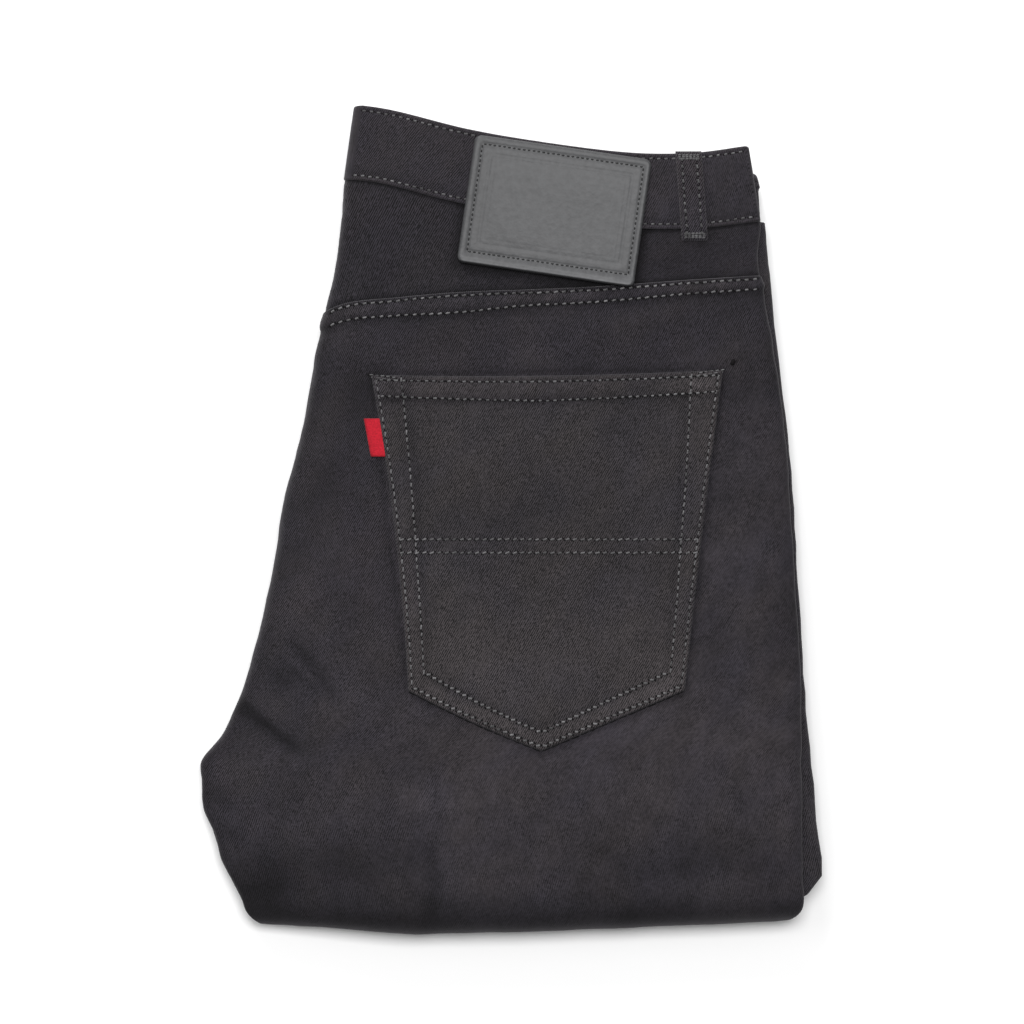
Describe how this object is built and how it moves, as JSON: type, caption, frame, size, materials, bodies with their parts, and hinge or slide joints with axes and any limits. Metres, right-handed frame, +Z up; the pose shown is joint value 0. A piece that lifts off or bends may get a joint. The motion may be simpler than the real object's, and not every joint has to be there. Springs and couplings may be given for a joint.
{
  "type": "straight leg jeans, folded",
  "caption": "Black straight leg jeans folded in half and then in three, lying flat with the right back pocket, yoke, waistband and blank patch on top.",
  "frame": {"origin": "on the surface it lies on, under the middle of the folded garment", "axes": "+Z up from the surface, +Y from the bottom fold to the waistband, +X from the centre back to the side seam"},
  "size_m": [0.3042, 0.4042, 0.0301],
  "materials": {
    "denim": "black stretch twill, matt with a soft sheen",
    "patch_leather": "smooth dark grey leather-like board, softly glossy",
    "tab_ribbon": "red woven ribbon"
  },
  "bodies": {
    "root": {"folded_layers": "denim", "back_leg_right": "denim", "yoke_right": "denim", "waistband": "denim", "pocket_back_right": "denim", "belt_loop_right": "denim", "patch": "patch_leather", "tab": "tab_ribbon"}
  },
  "joints": []
}
